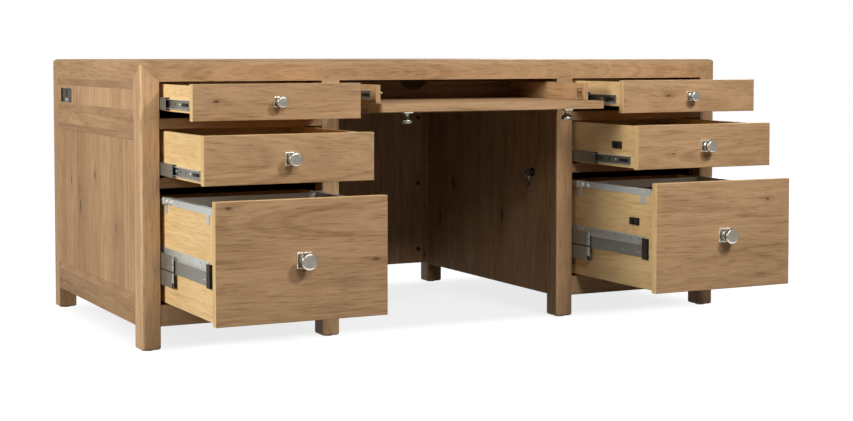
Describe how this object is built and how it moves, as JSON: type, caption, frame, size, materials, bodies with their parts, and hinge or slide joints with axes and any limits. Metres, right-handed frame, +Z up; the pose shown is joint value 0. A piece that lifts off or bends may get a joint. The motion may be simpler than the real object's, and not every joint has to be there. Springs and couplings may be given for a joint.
{
  "type": "double-pedestal desk",
  "caption": "Oak desk on drawer pedestals either side of a kneehole, with file drawers, a pull-out keyboard tray with a drop front, and a pedestal lock.",
  "frame": {"origin": "on the floor under the middle of the desk as it stands with its drawers open, the open drawers and their knobs included", "axes": "+X along the desk to the sitter's right, +Y from the drawers towards the back, +Z up"},
  "size_m": [1.828, 1.373, 0.762],
  "materials": {
    "oak": "satin lacquered natural oak",
    "drawer_wood": "clear lacquered pale wood",
    "satin_nickel": "satin nickel plate",
    "zinc_steel": "bright zinc plate",
    "black_plastic": "moulded matt black"
  },
  "bodies": {
    "carcase": {"top_panel": "oak", "top_edge_rails": "oak", "upper_posts": "oak", "upper_end_panels": "oak", "upper_back_panel": "oak", "upper_partitions": "oak", "pedestal_posts": "oak", "pedestal_rails": "oak", "pedestal_panels": "oak", "foot_glides": "black_plastic", "modesty_panel": "oak", "joining_bolts": "zinc_steel", "power_outlet": "black_plastic", "lock_housing": "satin_nickel", "runner_cleats": "drawer_wood", "fixed_runners": "zinc_steel"},
    "upper_left_drawer": {"upper_left_front": "oak", "upper_left_box": "drawer_wood", "upper_left_knob": "satin_nickel", "upper_left_runners": "zinc_steel"},
    "upper_left_middle_members": {"upper_left_middle_runners": "zinc_steel"},
    "middle_left_drawer": {"middle_left_front": "oak", "middle_left_box": "drawer_wood", "middle_left_knob": "satin_nickel", "middle_left_runners": "zinc_steel"},
    "middle_left_middle_members": {"middle_left_middle_runners": "zinc_steel"},
    "file_left_drawer": {"file_left_front": "oak", "file_left_box": "drawer_wood", "file_left_knob": "satin_nickel", "file_left_runners": "zinc_steel", "file_left_hanging_rails": "zinc_steel"},
    "file_left_middle_members": {"file_left_middle_runners": "zinc_steel"},
    "upper_right_drawer": {"upper_right_front": "oak", "upper_right_box": "drawer_wood", "upper_right_knob": "satin_nickel", "upper_right_runners": "zinc_steel"},
    "upper_right_middle_members": {"upper_right_middle_runners": "zinc_steel"},
    "middle_right_drawer": {"middle_right_front": "oak", "middle_right_box": "drawer_wood", "middle_right_knob": "satin_nickel", "middle_right_runners": "zinc_steel", "middle_right_lock_catch": "black_plastic"},
    "middle_right_middle_members": {"middle_right_middle_runners": "zinc_steel"},
    "file_right_drawer": {"file_right_front": "oak", "file_right_box": "drawer_wood", "file_right_knob": "satin_nickel", "file_right_runners": "zinc_steel", "file_right_hanging_rails": "zinc_steel", "file_right_lock_catch": "black_plastic"},
    "file_right_middle_members": {"file_right_middle_runners": "zinc_steel"},
    "tray": {"keyboard_tray": "oak", "tray_runners": "zinc_steel", "tray_hinge_leaves": "zinc_steel"},
    "tray_middle_members": {"tray_middle_runners": "zinc_steel"},
    "drop_front": {"drop_front": "oak", "drop_front_pins": "zinc_steel", "drop_front_knobs": "satin_nickel"},
    "lock_plug": {"lock_plug_and_key": "satin_nickel"},
    "lock_bar": {"lock_bar": "zinc_steel"},
    "spare_key": {"spare_key": "satin_nickel"}
  },
  "joints": [
    {"name": "upper_left_slide", "type": "slide", "parent": "carcase", "child": "upper_left_drawer", "axis": [0, -1, 0], "range_m": [-0.26, 0.205]},
    {"name": "upper_left_middle_slide", "type": "slide", "parent": "carcase", "child": "upper_left_middle_members", "axis": [0, -1, 0], "range_m": [-0.102, 0.08042]},
    {"name": "middle_left_slide", "type": "slide", "parent": "carcase", "child": "middle_left_drawer", "axis": [0, -1, 0], "range_m": [-0.341, 0.124]},
    {"name": "middle_left_middle_slide", "type": "slide", "parent": "carcase", "child": "middle_left_middle_members", "axis": [0, -1, 0], "range_m": [-0.154, 0.056]},
    {"name": "file_left_slide", "type": "slide", "parent": "carcase", "child": "file_left_drawer", "axis": [0, -1, 0], "range_m": [-0.421, 0.044]},
    {"name": "file_left_middle_slide", "type": "slide", "parent": "carcase", "child": "file_left_middle_members", "axis": [0, -1, 0], "range_m": [-0.18, 0.01881]},
    {"name": "upper_right_slide", "type": "slide", "parent": "carcase", "child": "upper_right_drawer", "axis": [0, -1, 0], "range_m": [-0.266, 0.199]},
    {"name": "upper_right_middle_slide", "type": "slide", "parent": "carcase", "child": "upper_right_middle_members", "axis": [0, -1, 0], "range_m": [-0.133, 0.0995]},
    {"name": "middle_right_slide", "type": "slide", "parent": "carcase", "child": "middle_right_drawer", "axis": [0, -1, 0], "range_m": [-0.341, 0.124]},
    {"name": "middle_right_middle_slide", "type": "slide", "parent": "carcase", "child": "middle_right_middle_members", "axis": [0, -1, 0], "range_m": [-0.174, 0.06327]},
    {"name": "file_right_slide", "type": "slide", "parent": "carcase", "child": "file_right_drawer", "axis": [0, -1, 0], "range_m": [-0.431, 0.034]},
    {"name": "file_right_middle_slide", "type": "slide", "parent": "carcase", "child": "file_right_middle_members", "axis": [0, -1, 0], "range_m": [-0.172, 0.01357]},
    {"name": "tray_slide", "type": "slide", "parent": "carcase", "child": "tray", "axis": [0, -1, 0], "range_m": [-0.218, 0.112]},
    {"name": "tray_middle_slide", "type": "slide", "parent": "carcase", "child": "tray_middle_members", "axis": [0, -1, 0], "range_m": [-0.09, 0.04624]},
    {"name": "drop_front_hinge", "type": "hinge", "parent": "tray", "child": "drop_front", "pos_m": [0, -0.41375, 0.64325], "axis": [1, 0, 0], "range_deg": [-90, 0]},
    {"name": "lock_bar_slide", "type": "slide", "parent": "carcase", "child": "lock_bar", "axis": [0, 0, 1], "range_m": [0, 0.01414]},
    {"name": "lock_turn", "type": "hinge", "parent": "carcase", "child": "lock_plug", "pos_m": [0.35, -0.0695, 0.422], "axis": [1, 0, 0], "range_deg": [0, 90]},
    {"name": "spare_key_swing", "type": "hinge", "parent": "lock_plug", "child": "spare_key", "pos_m": [0.3332, -0.0695, 0.4137], "axis": [1, 0, 0], "range_deg": [-90, 0]}
  ],
  "couplings": [
    {"joint": "upper_left_middle_slide", "follows": "upper_left_slide", "ratio": 0.39231},
    {"joint": "middle_left_middle_slide", "follows": "middle_left_slide", "ratio": 0.45161},
    {"joint": "file_left_middle_slide", "follows": "file_left_slide", "ratio": 0.42755},
    {"joint": "upper_right_middle_slide", "follows": "upper_right_slide", "ratio": 0.5},
    {"joint": "middle_right_middle_slide", "follows": "middle_right_slide", "ratio": 0.51026},
    {"joint": "file_right_middle_slide", "follows": "file_right_slide", "ratio": 0.39907},
    {"joint": "tray_middle_slide", "follows": "tray_slide", "ratio": 0.41284},
    {"joint": "lock_turn", "follows": "lock_bar_slide", "rad_per_m": 111.07},
    {"joint": "spare_key_swing", "follows": "lock_bar_slide", "rad_per_m": -111.07}
  ]
}
